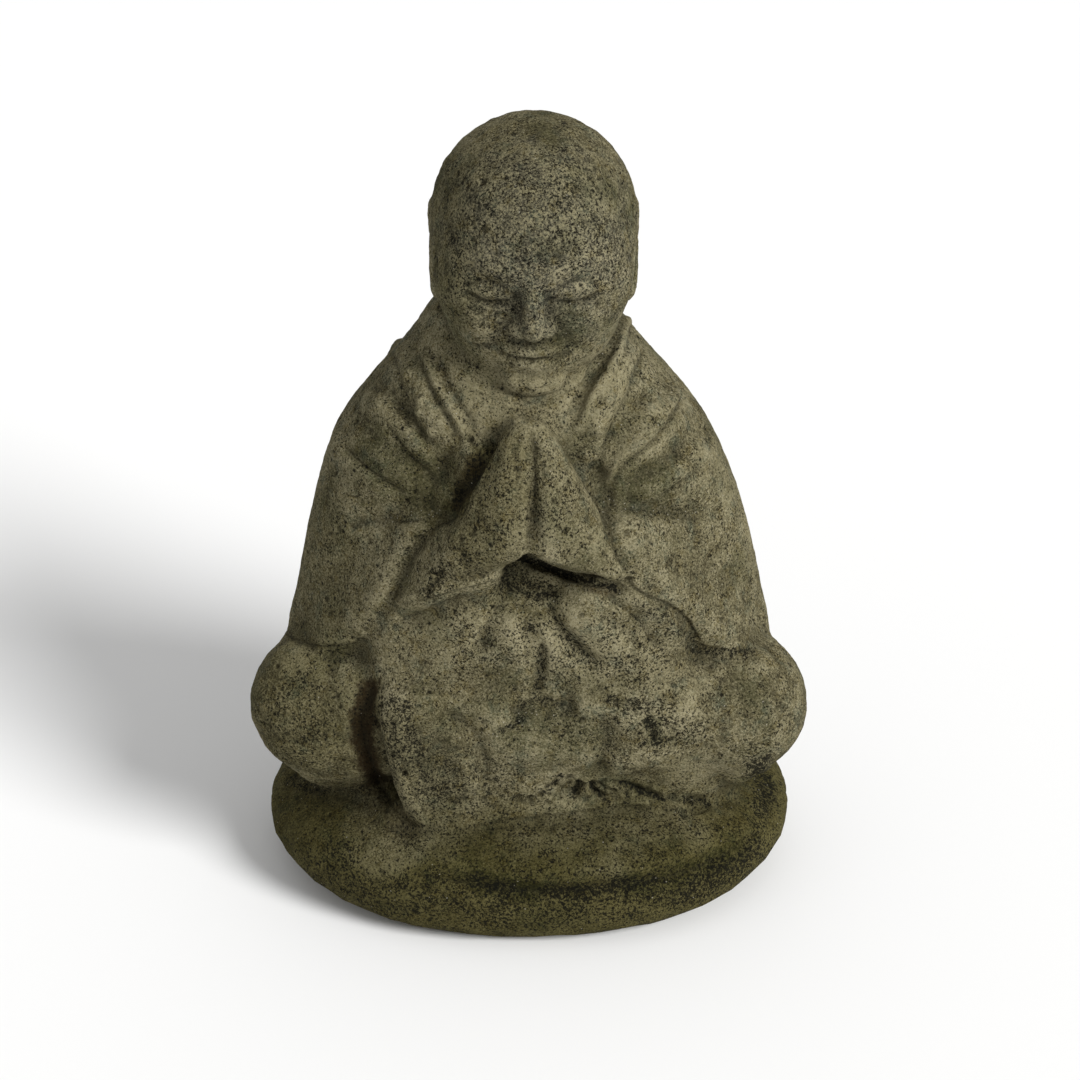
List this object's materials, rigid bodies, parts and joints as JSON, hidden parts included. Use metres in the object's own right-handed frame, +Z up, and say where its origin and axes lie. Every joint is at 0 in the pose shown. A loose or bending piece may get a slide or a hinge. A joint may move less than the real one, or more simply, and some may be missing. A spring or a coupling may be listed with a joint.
{
  "type": "praying buddha statue",
  "caption": "Seated monk figure with pressed palms, lowered head and draped robe, in one piece with its low rounded stone base.",
  "frame": {"origin": "centre of the bounding box at the flat underside of the base", "axes": "+Z up; -Y is the side the figure faces; +X to the right as seen from the front"},
  "size_m": [0.2096, 0.1527, 0.2999],
  "materials": {
    "stone": "matt, weathered, fine-grained and pitted"
  },
  "bodies": {
    "root": {"praying_statue": "stone"}
  },
  "joints": []
}
